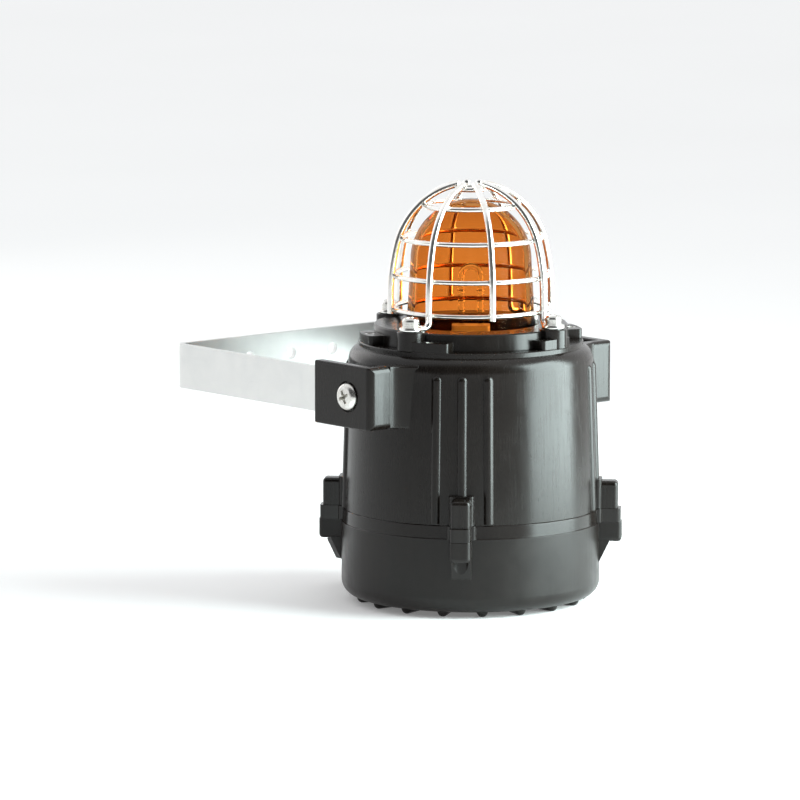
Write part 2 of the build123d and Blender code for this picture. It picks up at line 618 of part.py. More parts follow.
def guard_fasteners():
    """Pan head screw, lock washer and plain washer on each foot of the guard."""
    foot_top = GUARD_BOSS_Z + FOOT_HEIGHT
    seat = foot_top + GUARD_WASHER + GUARD_LOCK
    bore = GUARD_SCREW_R + GAP
    screw = pan_screw(GUARD_HEAD_R, GUARD_HEAD, GUARD_SCREW_R, seat - GUARD_BOSS_Z + GUARD_SCREW_DEPTH - 1)
    screws, locks, plains = [], [], []
    for index, angle in enumerate(GUARD_SCREW_ANGLES):
        x, y = polar(GUARD_SCREW_CIRCLE_R, angle)
        plains.append(ring(GUARD_WASHER_R, bore, foot_top, foot_top + GUARD_WASHER, x, y))
        lock = spring_washer(GUARD_WASHER_R - 0.4, bore, GUARD_LOCK)
        locks.append(Pos(x, y, foot_top + GUARD_WASHER) * Rot(0, 0, 37 * index) * lock)
        screws.append(Pos(x, y, seat) * Rot(0, 0, 20 + 31 * index) * screw)
    PARTS["guard_screws"] = screws
    PARTS["guard_lock_washers"] = locks
    PARTS["guard_washers"] = plains


# ---- Light source -------------------------------------------------------------------------
LAMP_TURN = -41.0         # the tube's two legs stand side by side, seen from between an ear and the front
TUBE_R = 1.9
TUBE_BEND_R = 5.5
TUBE_BEND_Z = 188.5
HOLDER_Z = 160.0          # top of the ceramic holder
TOWER_R = 13.0
TOWER_Z = 153.0
LAMP_BOARD_Z = 130.0
BOARD = 1.6
LAMP_BOARD_R = 46.0
LAMP_PILLAR_R = 40.0
POWER_BOARD_Z = 88.0
POWER_BOARD_R = 60.0
POWER_PILLAR_R = 54.0
PILLAR_R = 3.0
PILLAR_SCREW_R = 1.5
LINK_WIRE_R = 1.1
SOCKET = 5.0              # how deep the tube's legs stand in the holder
TRIGGER_Z = (168.0, 174.0, 180.0)
TRIGGER_R = 0.3
CAN_R, CAN_HEIGHT = 11.0, 34.0
CAN_X, CAN_Y = 30.0, 12.0
TERMINALS = 6
TERMINAL_PITCH = 10.0
TERMINAL_HEIGHT = 16.0
EARTH_Y = -40.0
EARTH_R = 2.5


def flash_tube():
    """Glass U tube of the flash lamp, standing across the line of sight from the front."""
    x = TUBE_BEND_R
    low = HOLDER_Z - SOCKET
    path = Curve([
        Line((-x, 0, low), (-x, 0, TUBE_BEND_Z)),
        ThreePointArc((-x, 0, TUBE_BEND_Z), (0, 0, TUBE_BEND_Z + x), (x, 0, TUBE_BEND_Z)),
        Line((x, 0, TUBE_BEND_Z), (x, 0, low)),
    ])
    tube = sweep(Pos(-x, 0, low) * Circle(TUBE_R), path=path)
    return turn(tube, LAMP_TURN)


def trigger_wires():
    """Rings of bare wire round the legs of the tube that start each flash."""
    loop = Torus(TUBE_R + TRIGGER_R + PIVOT_FIT, TRIGGER_R)
    return [turn(Pos(side * TUBE_BEND_R, 0, z) * loop, LAMP_TURN) for side in SIDES for z in TRIGGER_Z]


def tube_holder():
    base = Pos(0, 0, TOWER_Z) * Box(22, 11, HOLDER_Z - TOWER_Z, align=STANDING)
    base = fillet(base.edges().filter_by(Axis.Z), 2)
    for side in SIDES:
        base -= drum(TUBE_R + PIVOT_FIT, HOLDER_Z - SOCKET, HOLDER_Z + 1, side * TUBE_BEND_R)
    return turn(base, LAMP_TURN)


def lamp_tower():
    """Moulded tower that carries the lamp from its board up into the dome."""
    foot = drum(24, LAMP_BOARD_Z + BOARD, LAMP_BOARD_Z + BOARD + 3)
    stem = ring(TOWER_R, TOWER_R - 3, LAMP_BOARD_Z + BOARD, TOWER_Z - 2)
    return joined([foot, stem, drum(TOWER_R, TOWER_Z - 3, TOWER_Z)])


def reflector_plate():
    """White dished plate round the lamp, at the foot of the dome."""
    low, rim, skin = 148.6, 151.0, 0.9
    inner = TOWER_R + 0.3
    return turned_polygon([
        (inner, low), (27, low), (30.5, low + 1.8), (32, rim), (32, rim + 0.6), (29.9, rim - 0.1),
        (26.5, low + skin), (inner, low + skin)])


def board(radius, z, holes):
    """Round circuit board with holes for its pillars' screws."""
    plate = drum(radius, z, z + BOARD)
    for x, y in holes:
        plate -= drum(PILLAR_SCREW_R + 0.1, z - 1, z + BOARD + 1, x, y)
    return plate


def pillar(x, y, z_low, z_high):
    """Hexagon spacer with a threaded lower end."""
    blank = Pos(x, y, z_low) * extrude(RegularPolygon(PILLAR_R, 6, major_radius=False), z_high - z_low)
    return blank - drum(PILLAR_SCREW_R + PIVOT_FIT, z_low - 1, z_low + 8, x, y)


def board_set(prefix, radius, z, pillar_r, first_angle):
    """A board, the pillars it hangs from and the screws that hold it to them."""
    places = [polar(pillar_r, first_angle + 90 * i) for i in range(4)]
    PARTS[prefix + "_board"] = [board(radius, z, places)]
    PARTS[prefix + "_board_pillars"] = [pillar(x, y, z + BOARD, CROWN_Z) for x, y in places]
    screw = Rot(180, 0, 0) * cap_screw(2.75, 2.2, PILLAR_SCREW_R, BOARD + 6.0)
    PARTS[prefix + "_board_screws"] = [Pos(x, y, z) * screw for x, y in places]


def electronics():
    board_set("lamp", LAMP_BOARD_R, LAMP_BOARD_Z, LAMP_PILLAR_R, 0)
    board_set("power", POWER_BOARD_R, POWER_BOARD_Z, POWER_PILLAR_R, 45)
    top = POWER_BOARD_Z + BOARD
    can = chamfer(drum(CAN_R, top, top + CAN_HEIGHT).edges().group_by(Axis.Z)[-1], 1.2)
    PARTS["capacitors"] = [Pos(side * CAN_X, CAN_Y, 0) * can for side in SIDES]
    core = block(-16, 16, -44, -18, top, top + 26)
    coil = block(-10, 10, -46, -16, top + 5, top + 21)
    PARTS["transformer"] = [joined([core, coil])]
    PARTS["link_wires"] = [drum(LINK_WIRE_R, top, LAMP_BOARD_Z, x, 36) for x in (-5, 0, 5)]


def terminal_parts():
    """Terminal block under the power board, its clamp screws facing down and its wire holes facing +Y."""
    low = POWER_BOARD_Z - TERMINAL_HEIGHT
    terminals = block(-32, 32, -8, 8, low, POWER_BOARD_Z)
    screw = Rot(180, 0, 0) * cap_screw(2.4, 2.0, 1.4, 0.6)
    screws = []
    for index in range(TERMINALS):
        x = (index - (TERMINALS - 1) / 2) * TERMINAL_PITCH
        terminals -= drum(2.6, low - 1, low + 4, x)
        terminals -= block(x - 3, x + 3, 4, 9, low + 6, low + 11)
        screws.append(Pos(x, 0, low + 3.4) * screw)
    PARTS["terminal_block"] = [terminals]
    PARTS["terminal_screws"] = screws


def earth_parts():
    """Earth stud in the floor of the base cover, with its washer and nut."""
    floor = FLOOR_Z + WALL
    foot, washer, bore = 2.0, 1.0, EARTH_R + PIVOT_FIT
    stud = joined([drum(2 * EARTH_R, floor, floor + foot), drum(EARTH_R, floor + foot - GAP, floor + 16)])
    nut_z = floor + foot + washer
    PARTS["earth_stud"] = [Pos(0, EARTH_Y, 0) * stud]
    PARTS["earth_washer"] = [ring(2 * EARTH_R, bore, floor + foot, nut_z, 0, EARTH_Y)]
    PARTS["earth_nut"] = [Pos(0, EARTH_Y, nut_z) * hex_nut(8, bore, 4)]


# ---- Bracket and pivots -------------------------------------------------------------------
ARM_OUTER_X = EAR_FACE_X - EAR_THICKNESS - MOVING_GAP
BEND_R = 3.0
WALL_HOLE_R = 3.5
WALL_HOLE_X = (-32.0, 0.0, 32.0)
NUT_ACROSS = 13.0
NUT_HEIGHT = 6.3
PIVOT_HEAD_R, PIVOT_HEAD = 8.0, 4.8
PIVOT_TAIL = 10.6         # length of a pivot screw behind the arm
PIVOT_WASHER = 1.4
PIVOT_LOCK = 1.8


def bracket():
    """U bracket bent from flat bar, its arms rounded about the pivots."""
    outer, reach, thick = ARM_OUTER_X, BRACKET_REACH, BAR_THICKNESS
    bend_out = BEND_R + thick
    plan = make_face(Polyline((outer, -BAR_HEIGHT), (outer, reach), (-outer, reach), (-outer, -BAR_HEIGHT),
                              (thick - outer, -BAR_HEIGHT), (thick - outer, reach - thick),
                              (outer - thick, reach - thick), (outer - thick, -BAR_HEIGHT), close=True))
    bar = raised(plan, PIVOT_Z - BAR_HEIGHT / 2, PIVOT_Z + BAR_HEIGHT / 2)
    upright = bar.edges().filter_by(Axis.Z)
    bar = fillet(upright.filter_by(lambda e: e.center().Y > reach - 0.01), bend_out)
    upright = bar.edges().filter_by(Axis.Z)
    inner_y = reach - thick
    bar = fillet(upright.filter_by(lambda e: abs(e.center().Y - inner_y) < 0.01
                                   and abs(abs(e.center().X) - outer + thick) < 0.01), BEND_R)
    half = BAR_HEIGHT / 2
    side = Plane.YZ * Pos(0, PIVOT_Z) * (Circle(half) + Pos(reach, 0) * Rectangle(2 * reach, BAR_HEIGHT))
    bar &= extrude(side, 2 * outer, both=True)
    for x in WALL_HOLE_X:
        bar -= along_y(drum(WALL_HOLE_R, -thick - 1, 1), x, reach, PIVOT_Z)
    bar -= along_x(drum(PIVOT_R + PIVOT_FIT, -2 * outer - 1, 1), 1, outer)
    return bar


def pivot_fasteners():
    """Pan head screw through each ear and arm, with washer, lock washer and nut behind the arm."""
    screws, washers, locks, nuts = [], [], [], []
    seat_x = EAR_FACE_X - SCREW_RECESS
    washer_x = ARM_OUTER_X - BAR_THICKNESS - MOVING_GAP
    for side in SIDES:
        screw = Rot(0, 0, 24) * pan_screw(PIVOT_HEAD_R, PIVOT_HEAD, PIVOT_R, seat_x - washer_x + PIVOT_TAIL)
        screws.append(along_x(screw, side, seat_x))
        bore = PIVOT_R + PIVOT_FIT
        washers.append(along_x(ring(PIVOT_HEAD_R, bore, -PIVOT_WASHER, 0), side, washer_x))
        lock_x = washer_x - PIVOT_WASHER
        lock = Pos(0, 0, -PIVOT_LOCK) * spring_washer(NUT_ACROSS / 2 + 0.1, bore, PIVOT_LOCK)
        locks.append(along_x(lock, side, lock_x))
        nut_x = lock_x - PIVOT_LOCK
        nuts.append(along_x(Pos(0, 0, -NUT_HEIGHT) * hex_nut(NUT_ACROSS, bore, NUT_HEIGHT), side, nut_x))
    PARTS["pivot_screws"] = screws
    PARTS["pivot_washers"] = washers
    PARTS["pivot_lock_washers"] = locks
    PARTS["pivot_nuts"] = nuts


# ---- Assembly -----------------------------------------------------------------------------
PARTS["housing_body"] = [housing_body()]
PARTS["base_cover"] = [base_cover()]
PARTS["cover_seal"] = [cover_seal()]
cover_fasteners()
PARTS["entry_plug"] = [entry_plug()]
PARTS["plug_seal"] = [along_y(ring(13.0, ENTRY_R, 0, PLUG_SEAL), -ENTRY_X, ENTRY_FACE_Y, ENTRY_Z)]
PARTS["lens_flange"] = [lens_flange()]
PARTS["flange_screws"] = flange_screws()
PARTS["glass_dome"] = [glass_dome()]
PARTS["dome_gaskets"] = [ring(DOME_FOOT_R, FLANGE_BORE_R, z, z + GASKET) for z in (SEAT_Z, DOME_BASE_Z)]
PARTS["wire_guard"] = [wire_guard()]
guard_fasteners()
PARTS["flash_tube"] = [flash_tube()]
PARTS["trigger_wires"] = trigger_wires()
PARTS["tube_holder"] = [tube_holder()]
PARTS["lamp_tower"] = [lamp_tower()]
PARTS["reflector_plate"] = [reflector_plate()]
electronics()
terminal_parts()
earth_parts()
PARTS["bracket"] = [bracket()]
pivot_fasteners()

os.makedirs("parts", exist_ok=True)
for name, solids in PARTS.items():
    shape = solids[0] if len(solids) == 1 else Compound(children=list(solids))
    export_step(shape, f"parts/{name}.step")
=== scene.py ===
import json
from math import asin, atan2, cos, pi, radians, sin, sqrt

import bmesh
import bpy
from mathutils import Matrix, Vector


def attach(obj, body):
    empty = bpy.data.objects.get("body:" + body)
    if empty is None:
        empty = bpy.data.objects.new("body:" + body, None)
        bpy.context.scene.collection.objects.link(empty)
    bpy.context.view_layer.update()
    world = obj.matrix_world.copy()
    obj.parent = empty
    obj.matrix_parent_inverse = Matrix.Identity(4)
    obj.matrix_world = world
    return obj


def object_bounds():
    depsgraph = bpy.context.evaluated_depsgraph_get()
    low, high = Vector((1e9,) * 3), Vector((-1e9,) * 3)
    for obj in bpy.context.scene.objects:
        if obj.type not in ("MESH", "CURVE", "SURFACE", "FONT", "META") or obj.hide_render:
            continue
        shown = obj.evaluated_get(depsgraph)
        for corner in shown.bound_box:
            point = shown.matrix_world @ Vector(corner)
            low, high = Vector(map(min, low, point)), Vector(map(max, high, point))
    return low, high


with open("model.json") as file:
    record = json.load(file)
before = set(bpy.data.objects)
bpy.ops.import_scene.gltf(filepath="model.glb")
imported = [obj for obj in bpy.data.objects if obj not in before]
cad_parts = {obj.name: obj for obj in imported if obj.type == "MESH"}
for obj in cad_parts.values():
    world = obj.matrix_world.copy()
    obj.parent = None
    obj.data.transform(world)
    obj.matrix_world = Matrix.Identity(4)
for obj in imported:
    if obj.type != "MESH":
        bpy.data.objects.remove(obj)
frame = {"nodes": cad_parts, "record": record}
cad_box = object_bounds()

# Guarded beacon light: looks, light and camera. Metres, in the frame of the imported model.

MM = 0.001
HOUSING, BRACKET = "housing", "bracket"
SMOOTH_ANGLE = radians(32)

# ---- Camera and light, as the photograph has them -------------------------------------------
CAMERA_TURN = radians(41.0)       # from the front of the beacon towards its near ear
CAMERA_DISTANCE = 3.560           # along the floor, from the axis of the housing
CAMERA_HEIGHT = 0.632
CAMERA_PAN = radians(0.66)        # to the left of the axis
CAMERA_PITCH = radians(8.25)      # downward
LENS_MM, SENSOR_MM = 279.3, 36.0
DARK_TURN = radians(41.0 + 8.0)   # middle of the studio's darker side, as a turn like the camera's
DARK_SIDE = (-sin(DARK_TURN), -cos(DARK_TURN), 0.0)
DARK_EDGE, DARK_CORE = cos(radians(76)), cos(radians(56))   # where the darkness starts, and where it is full
BRIGHT_LEVEL, DARK_LEVEL = 1.05, 0.10                       # strength of the surroundings on either side
FLOOR_RADIUS = 9.0
FLOOR_DROP = 0.0001               # keeps the floor just clear of the base


# ---- Short calls that build one material's nodes --------------------------------------------
class Tree:
    def __init__(self, name):
        self.material = bpy.data.materials.new(name)
        self.material.use_nodes = True
        self.tree = self.material.node_tree
        self.shader = self.tree.nodes["Principled BSDF"]
        self.place = self.tree.nodes.new("ShaderNodeTexCoord").outputs["Object"]

    def node(self, kind, inputs=None, **settings):
        """A new node; each input is a plain value or another node's output."""
        made = self.tree.nodes.new(kind)
        for key, value in settings.items():
            setattr(made, key, value)
        for key, value in (inputs or {}).items():
            self.put(made.inputs[key], value)
        return made

    def put(self, socket, value):
        if isinstance(value, bpy.types.NodeSocket):
            self.tree.links.new(value, socket)
        else:
            socket.default_value = value

    def set(self, **values):
        """Sockets of the shader, with underscores for the spaces in their names."""
        for key, value in values.items():
            self.put(self.shader.inputs[key.replace("_", " ")], value)
        return self.material

    def noise(self, grain, detail=3.0, rough=0.5, stretch=(1, 1, 1), warp=0.0):
        """Noise from 0 to 1 with features of about grain metres, stretched along an axis by a factor."""
        scaled = self.node("ShaderNodeMapping", {"Vector": self.place, "Scale": [1 / s for s in stretch]})
        made = self.node("ShaderNodeTexNoise", {
            "Vector": scaled.outputs["Vector"], "Scale": 1 / grain, "Detail": detail, "Roughness": rough,
            "Distortion": warp})
        return made.outputs["Fac"]

    def cells(self, grain, feature="DISTANCE_TO_EDGE"):
        made = self.node("ShaderNodeTexVoronoi", {"Vector": self.place, "Scale": 1 / grain}, feature=feature)
        return made.outputs["Distance"]

    def span(self, value, low, high, to_low, to_high):
        """value from low..high spread over to_low..to_high."""
        made = self.node("ShaderNodeMapRange", {
            "Value": value, "From Min": low, "From Max": high, "To Min": to_low, "To Max": to_high})
        return made.outputs["Result"]

    def maths(self, operation, a, b=0.0):
        made = self.node("ShaderNodeMath", operation=operation)
        self.put(made.inputs[0], a)
        self.put(made.inputs[1], b)
        return made.outputs["Value"]

    def blend(self, amount, a, b):
        """Colour a where amount is 0 and b where it is 1."""
        made = self.node("ShaderNodeMix", data_type="RGBA")
        self.put(made.inputs["Factor"], amount)
        for key, colour in (("A", a), ("B", b)):
            socket = next(s for s in made.inputs if s.name == key and s.type == "RGBA")
            self.put(socket, colour if isinstance(colour, bpy.types.NodeSocket) else (*colour, 1.0))
        return next(s for s in made.outputs if s.type == "RGBA")

    def soft_edges(self, radius):
        """Normals rounded over the edges, as a mould or a deburred edge leaves them."""
        return self.node("ShaderNodeBevel", {"Radius": radius}, samples=6).outputs["Normal"]

    def edge_wear(self, radius):
        """0 on flat stretches, rising towards 1 on edges."""
        geometry = self.node("ShaderNodeNewGeometry")
        turned = self.node("ShaderNodeVectorMath", operation="DOT_PRODUCT")
        self.put(turned.inputs[0], self.soft_edges(radius))
        self.put(turned.inputs[1], geometry.outputs["Normal"])
        return self.span(turned.outputs["Value"], 1.0, 0.86, 0.0, 1.0)

    def bump(self, height, depth, normal=None):
        """Relief of that many metres where height goes from 0 to 1."""
        made = self.node("ShaderNodeBump", {"Height": height, "Distance": depth, "Strength": 1.0})
        if normal is not None:
            self.put(made.inputs["Normal"], normal)
        return made.outputs["Normal"]


# ---- Materials ------------------------------------------------------------------------------
def moulding(name, dark, light, rough, grain_depth, streak=0.10, mottle=0.06, band=None):
    """Black glass-reinforced polyester: flow streaks from the mould, fine grain, edges rubbed paler, the
    paler edge colour also standing in as a painted highlight along them.

    band is (low, high, gloss): above those levels the finish is glossier by that much.
    """
    t = Tree(name)
    flow = t.noise(1.1 * MM, detail=4, stretch=(1, 1, 45))
    cloud = t.noise(14 * MM, detail=4, rough=0.6, warp=0.4)
    speck = t.noise(0.55 * MM, detail=2)
    wear = t.maths("MULTIPLY", t.edge_wear(0.5 * MM), t.noise(3 * MM, detail=4))
    tone = t.blend(t.span(cloud, 0.35, 0.7, 0.0, 1.0), dark, light)
    # Paler colour along the edges: partly rubbed wear, partly a painted highlight line on every edge
    worn_and_painted_highlight = t.blend(t.maths("MULTIPLY", wear, 0.55), tone, [c * 3.2 for c in light])
    finish = t.maths("ADD", t.span(flow, 0.3, 0.7, rough - streak / 2, rough + streak / 2),
                     t.span(cloud, 0.3, 0.7, -mottle / 2, mottle / 2))
    if band:
        low, high, gloss = band
        level = t.node("ShaderNodeSeparateXYZ", {"Vector": t.place}).outputs["Z"]
        finish = t.maths("SUBTRACT", finish, t.span(level, low, high, 0.0, gloss))
    relief = t.bump(flow, 0.010 * MM, t.bump(speck, grain_depth, t.soft_edges(0.35 * MM)))
    return t.set(Base_Color=worn_and_painted_highlight, Roughness=finish, Normal=relief, IOR=1.55, Specular_IOR_Level=0.27)


def bright_wire(name):
    """Polished drawn stainless wire, faintly duller and straw coloured in patches."""
    t = Tree(name)
    patch = t.noise(5 * MM, detail=3)
    draw = t.noise(0.5 * MM, detail=2, stretch=(1, 1, 8))
    colour = t.blend(t.span(patch, 0.4, 0.75, 0.0, 1.0), (0.94, 0.93, 0.91), (0.84, 0.80, 0.73))
    finish = t.maths("ADD", t.span(draw, 0.3, 0.7, 0.12, 0.22), t.span(patch, 0.3, 0.7, 0.0, 0.05))
    return t.set(Base_Color=colour, Metallic=1.0, Roughness=finish, Normal=t.bump(draw, 0.004 * MM))


def fixing_steel(name):
    """Bright stainless of screws and washers, rubbed where tools have been."""
    t = Tree(name)
    patch = t.noise(1.6 * MM, detail=4, rough=0.6)
    wear = t.edge_wear(0.25 * MM)
    colour = t.blend(t.span(patch, 0.35, 0.7, 0.0, 1.0), (0.80, 0.79, 0.76), (0.62, 0.60, 0.56))
    finish = t.maths("SUBTRACT", t.span(patch, 0.3, 0.7, 0.16, 0.30), t.maths("MULTIPLY", wear, 0.08))
    relief = t.bump(t.noise(0.25 * MM, detail=3), 0.006 * MM, t.soft_edges(0.2 * MM))
    return t.set(Base_Color=colour, Metallic=1.0, Roughness=finish, Normal=relief)


def satin_strip(name):
    """Rolled stainless strip: fine lines along its length, a few scratches, brighter cut edges."""
    t = Tree(name)
    lines = t.noise(0.28 * MM, detail=4, rough=0.65, stretch=(70, 70, 1))
    cloud = t.noise(16 * MM, detail=3, warp=0.6)
    scratch = t.span(t.noise(0.9 * MM, detail=5, stretch=(9, 9, 1), warp=1.5), 0.70, 0.78, 0.0, 1.0)
    wear = t.edge_wear(0.5 * MM)
    tone = t.blend(t.span(cloud, 0.3, 0.75, 0.0, 1.0), (0.80, 0.80, 0.785), (0.74, 0.745, 0.735))
    colour = t.blend(t.maths("MULTIPLY", scratch, 0.35), tone, (0.60, 0.60, 0.59))
    finish = t.maths("SUBTRACT", t.span(lines, 0.3, 0.7, 0.28, 0.44), t.maths("MULTIPLY", wear, 0.10))
    relief = t.bump(lines, 0.006 * MM, t.soft_edges(0.4 * MM))
    return t.set(Base_Color=colour, Metallic=1.0, Roughness=finish, Normal=relief, Anisotropic=0.3)


def amber_glass(name):
    """Pressed amber glass: stained at its surface, darker where the sight line is longer in it, rippled."""
    t = Tree(name)
    cords = t.noise(7 * MM, detail=3, stretch=(1, 1, 9), warp=0.3)
    ripple = t.noise(9 * MM, detail=2, stretch=(1, 1, 4))
    dust = t.noise(2.2 * MM, detail=5, rough=0.65)
    colour = t.blend(t.span(cords, 0.3, 0.7, 0.0, 1.0), (0.968, 0.552, 0.238), (0.945, 0.518, 0.198))
    finish = t.span(dust, 0.45, 0.8, 0.015, 0.07)
    stain = t.node("ShaderNodeVolumeAbsorption", {"Color": (0.72, 0.58, 0.35, 1.0), "Density": 120.0})
    t.tree.links.new(stain.outputs["Volume"], t.tree.nodes["Material Output"].inputs["Volume"])
    return t.set(Base_Color=colour, Transmission_Weight=1.0, Roughness=finish, IOR=1.07,
                 Specular_IOR_Level=0.5, Normal=t.bump(ripple, 0.10 * MM))


def clear_glass(name):
    t = Tree(name)
    smear = t.noise(1.5 * MM, detail=4)
    colour = t.blend(smear, (0.97, 0.98, 0.97), (0.90, 0.92, 0.91))
    finish = t.span(smear, 0.3, 0.8, 0.0, 0.06)
    return t.set(Base_Color=colour, Transmission_Weight=1.0, Roughness=finish, IOR=1.46)


def metal(name, bright, dull, rough, grain=1.2 * MM):
    """A turned or plated metal with slow patches of tarnish."""
    t = Tree(name)
    patch = t.noise(grain, detail=4)
    colour = t.blend(t.span(patch, 0.35, 0.7, 0.0, 1.0), bright, dull)
    finish = t.span(patch, 0.3, 0.7, rough - 0.06, rough + 0.08)
    relief = t.bump(t.noise(grain / 4, detail=2), 0.005 * MM, t.soft_edges(0.2 * MM))
    return t.set(Base_Color=colour, Metallic=1.0, Roughness=finish, Normal=relief)


def plastic(name, tone, shade, rough, grain=0.5 * MM, depth=0.008 * MM, sheen=0.0):
    """Plain moulded plastic or rubber with a fine skin."""
    t = Tree(name)
    cloud = t.noise(6 * MM, detail=4)
    skin = t.noise(grain, detail=3)
    colour = t.blend(t.span(cloud, 0.35, 0.7, 0.0, 1.0), tone, shade)
    finish = t.span(skin, 0.3, 0.7, rough - 0.05, rough + 0.07)
    relief = t.bump(skin, depth, t.soft_edges(0.3 * MM))
    return t.set(Base_Color=colour, Roughness=finish, Normal=relief, Sheen_Weight=sheen)


def circuit_laminate(name):
    """Green solder resist over the weave of the laminate and the copper under it."""
    t = Tree(name)
    copper = t.span(t.cells(4.5 * MM), 0.05, 0.09, 0.0, 1.0)
    weave = t.noise(0.6 * MM, detail=2, stretch=(6, 1, 1))
    tone = t.blend(copper, (0.03, 0.20, 0.08), (0.06, 0.33, 0.14))
    colour = t.blend(t.span(weave, 0.4, 0.7, 0.0, 0.4), tone, (0.02, 0.14, 0.06))
    finish = t.span(weave, 0.3, 0.7, 0.22, 0.34)
    return t.set(Base_Color=colour, Roughness=finish, Normal=t.bump(copper, 0.03 * MM))


def pale_floor(name):
    """Plain pale paper, faintly uneven."""
    t = Tree(name)
    cloud = t.noise(0.35, detail=3)
    colour = t.blend(cloud, (0.90, 0.90, 0.895), (0.87, 0.87, 0.865))
    return t.set(Base_Color=colour, Roughness=t.span(cloud, 0.3, 0.7, 0.75, 0.85), Specular_IOR_Level=0.1,
                 Emission_Color=(1.0, 1.0, 1.0, 1.0), Emission_Strength=0.18)


MATERIALS = {
    "housing_moulding": moulding(
        "black_moulding", (0.0060, 0.0042, 0.0032), (0.0095, 0.0070, 0.0058), 0.25, 0.010 * MM),
    "cover_moulding": moulding(
        "black_moulding_satin", (0.0060, 0.0042, 0.0034), (0.0105, 0.0080, 0.0068), 0.38, 0.022 * MM,
        streak=0.08, mottle=0.14, band=(45.5 * MM, 46.5 * MM, 0.22)),
    "flange_moulding": moulding(
        "black_moulding_bright", (0.0056, 0.0040, 0.0030), (0.0090, 0.0068, 0.0056), 0.23, 0.008 * MM),
    "amber_glass": amber_glass("amber_glass"),
    "clear_glass": clear_glass("clear_glass"),
    "bright_stainless": bright_wire("bright_wire"),
    "stainless_fixings": fixing_steel("bright_fixings"),
    "bracket_stainless": satin_strip("satin_strip"),
    "brass_insert": metal("brass", (0.76, 0.56, 0.25), (0.60, 0.42, 0.18), 0.28),
    "plug_plastic": plastic("black_nylon", (0.022, 0.022, 0.023), (0.030, 0.030, 0.030), 0.42),
    "seal_rubber": plastic("black_rubber", (0.018, 0.018, 0.018), (0.030, 0.029, 0.028), 0.62, sheen=0.1),
    "plug_washer": plastic("red_fibre", (0.45, 0.045, 0.030), (0.33, 0.030, 0.022), 0.60, depth=0.03 * MM),
    "white_plastic": plastic("white_plastic", (0.80, 0.80, 0.76), (0.72, 0.71, 0.67), 0.38),
    "circuit_board": circuit_laminate("circuit_laminate"),
    "capacitor_sleeve": plastic("blue_sleeve", (0.03, 0.06, 0.20), (0.04, 0.08, 0.26), 0.25),
    "transformer_iron": metal("varnished_iron", (0.24, 0.20, 0.17), (0.16, 0.13, 0.11), 0.45),
    "bare_wire": metal("bare_wire", (0.78, 0.75, 0.70), (0.60, 0.57, 0.52), 0.20),
    "wire_sleeve": plastic("red_sleeve", (0.42, 0.025, 0.020), (0.35, 0.02, 0.018), 0.35),
    "terminal_plastic": plastic("natural_polyamide", (0.76, 0.74, 0.67), (0.68, 0.66, 0.59), 0.40),
}


def dress_nodes():
    """Gives every CAD node its material, with smooth round faces and sharp corners."""
    for entry in frame["record"]["subparts"]:
        node = frame["nodes"][entry["node"]]
        node.data.materials.clear()
        node.data.materials.append(MATERIALS[entry["material_slot"]])
        node.data.shade_smooth()
        node.data.set_sharp_from_angle(angle=SMOOTH_ANGLE)


# ---- Pieces that the CAD leaves to the eye ---------------------------------------------------
WIRE_ANGLES = [radians(19 + 45 * i) for i in range(8)]
GUARD_R, SPRING_Z = 48.0 * MM, 178.0 * MM           # the guard's wires, as the CAD has them
CROWN_R, CROWN_CENTRE_Z = 45.6 * MM, 197.0 * MM
LONG_R = CROWN_R + ((GUARD_R - CROWN_R) ** 2 + (CROWN_CENTRE_Z - SPRING_Z) ** 2) / (2 * (GUARD_R - CROWN_R))
HOOP_Z = (170.0 * MM, 189.8 * MM, 211.8 * MM, 231.9 * MM)
WELD_DEPTH = 1.75 * MM                              # from a wire's centre line to the weld under it
WIRE_END_R = 8.4 * MM                               # radius at which the wires end round the crown
CAP_SIZE = (1.87 * MM, 1.87 * MM, 0.95 * MM)        # rounded end: across the wire twice, then along it
WELD_SIZE = (0.55 * MM, 2.35 * MM, 1.95 * MM)       # nugget: outward, round the guard, along the wire
THREAD_DEPTH, THREAD_PITCH = 0.55 * MM, 1.5 * MM    # M20 x 1.5
THREAD_LENGTH, THREAD_START = 13.0 * MM, 14.2 * MM  # start: from the mouth of the entry inwards


def finished(name, shape, body, material, smooth=True):
    """Turns a bmesh into a piece that rides on a body."""
    mesh = bpy.data.meshes.new(name)
    shape.to_mesh(mesh)
    shape.free()
    mesh.materials.append(material)
    if smooth:
        mesh.shade_smooth()
    piece = bpy.data.objects.new(name, mesh)
    bpy.context.collection.objects.link(piece)
    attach(piece, body)
    return piece


def on_wire(z):
    """Radius of a guard wire's centre line at a level, and the rise of its outward normal."""
    if z <= SPRING_Z:
        return GUARD_R, 0.0
    rise = asin((z - SPRING_Z) / LONG_R)
    if rise < atan2(CROWN_CENTRE_Z - SPRING_Z, LONG_R - GUARD_R):
        return GUARD_R - LONG_R * (1 - cos(rise)), rise
    rise = asin((z - CROWN_CENTRE_Z) / CROWN_R)
    return CROWN_R * cos(rise), rise


def guard_welds():
    """Flattened nuggets where each wire is spot welded to each hoop, none quite like the next."""
    shape = bmesh.new()
    for row, z in enumerate(HOOP_Z):
        radius, rise = on_wire(z)
        for column, angle in enumerate(WIRE_ANGLES):
            turn = Matrix.Rotation(angle, 4, "Z") @ Matrix.Rotation(-rise, 4, "Y")
            reach = radius - WELD_DEPTH * cos(rise), z - WELD_DEPTH * sin(rise)
            place = Matrix.Translation((reach[0] * cos(angle), reach[0] * sin(angle), reach[1]))
            swell = 1.0 + 0.12 * sin(7.3 * column + 3.1 * row)
            size = Matrix.Diagonal((WELD_SIZE[0], WELD_SIZE[1] * swell, WELD_SIZE[2] * swell, 1.0))
            bmesh.ops.create_icosphere(shape, subdivisions=3, radius=1.0, matrix=place @ turn @ size)
    finished("guard_welds", shape, HOUSING, MATERIALS["bright_stainless"])


